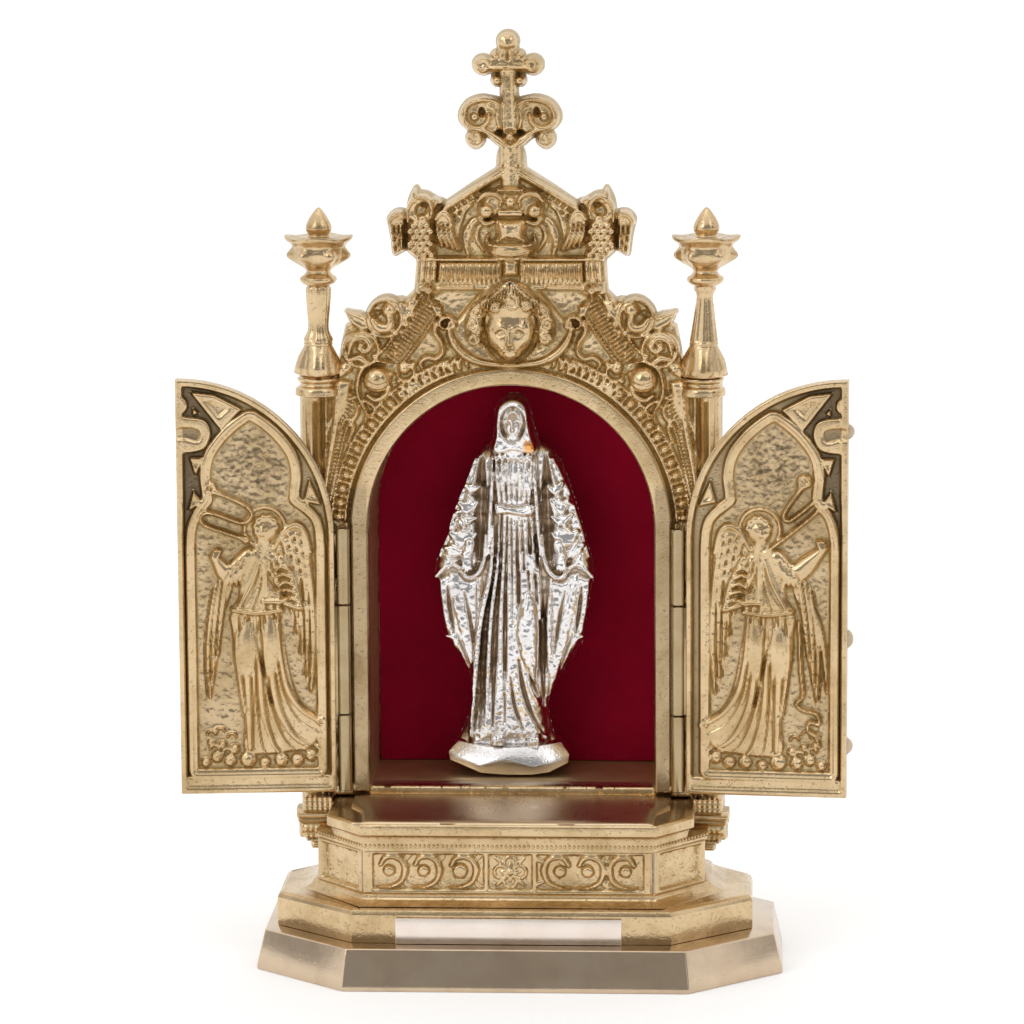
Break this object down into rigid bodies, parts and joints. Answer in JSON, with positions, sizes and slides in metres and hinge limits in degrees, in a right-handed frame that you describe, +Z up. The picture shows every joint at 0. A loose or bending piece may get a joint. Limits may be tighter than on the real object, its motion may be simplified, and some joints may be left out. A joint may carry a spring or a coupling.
{
  "type": "triptych altarpiece",
  "caption": "Small standing triptych shrine of cast brass: arched velvet niche with a silvered figure, two hinged relief doors, and a stepped base.",
  "frame": {"origin": "on the underside of the foot plate, below the middle of the shrine", "axes": "+Z up, +X to the viewer's right, +Y to the back; the niche opens towards -Y"},
  "size_m": [0.1426, 0.0648, 0.2],
  "materials": {
    "cast_brass": "cast brass, polished on the high parts and darker and golden in the recesses",
    "polished_brass": "mirror-polished brass plate with fine rubbing marks",
    "hinge_brass": "yellow drawn brass tube and wire",
    "silver_plate": "bright silver plate, slightly grained, dark in the folds",
    "velvet": "deep crimson velvet glued to the back of the niche"
  },
  "bodies": {
    "shrine": {"pedestal": "cast_brass", "facade": "cast_brass", "niche_shell": "cast_brass", "foot_plate": "polished_brass", "plaque": "polished_brass", "left_hinge_bottom": "hinge_brass", "left_hinge_top": "hinge_brass", "left_hinge_pin": "hinge_brass", "right_hinge_bottom": "hinge_brass", "right_hinge_top": "hinge_brass", "right_hinge_pin": "hinge_brass", "statue": "silver_plate", "velvet_lining": "velvet"},
    "door_left": {"left_door": "cast_brass"},
    "door_right": {"right_door": "cast_brass"}
  },
  "joints": [
    {"name": "left_door_hinge", "type": "hinge", "parent": "shrine", "child": "door_left", "pos_m": [-0.0358, 0.0015, 0.064], "axis": [0, 0, 1], "range_deg": [-4, 174]},
    {"name": "right_door_hinge", "type": "hinge", "parent": "shrine", "child": "door_right", "pos_m": [0.0358, 0.0015, 0.064], "axis": [0, 0, 1], "range_deg": [-174, 4]}
  ]
}
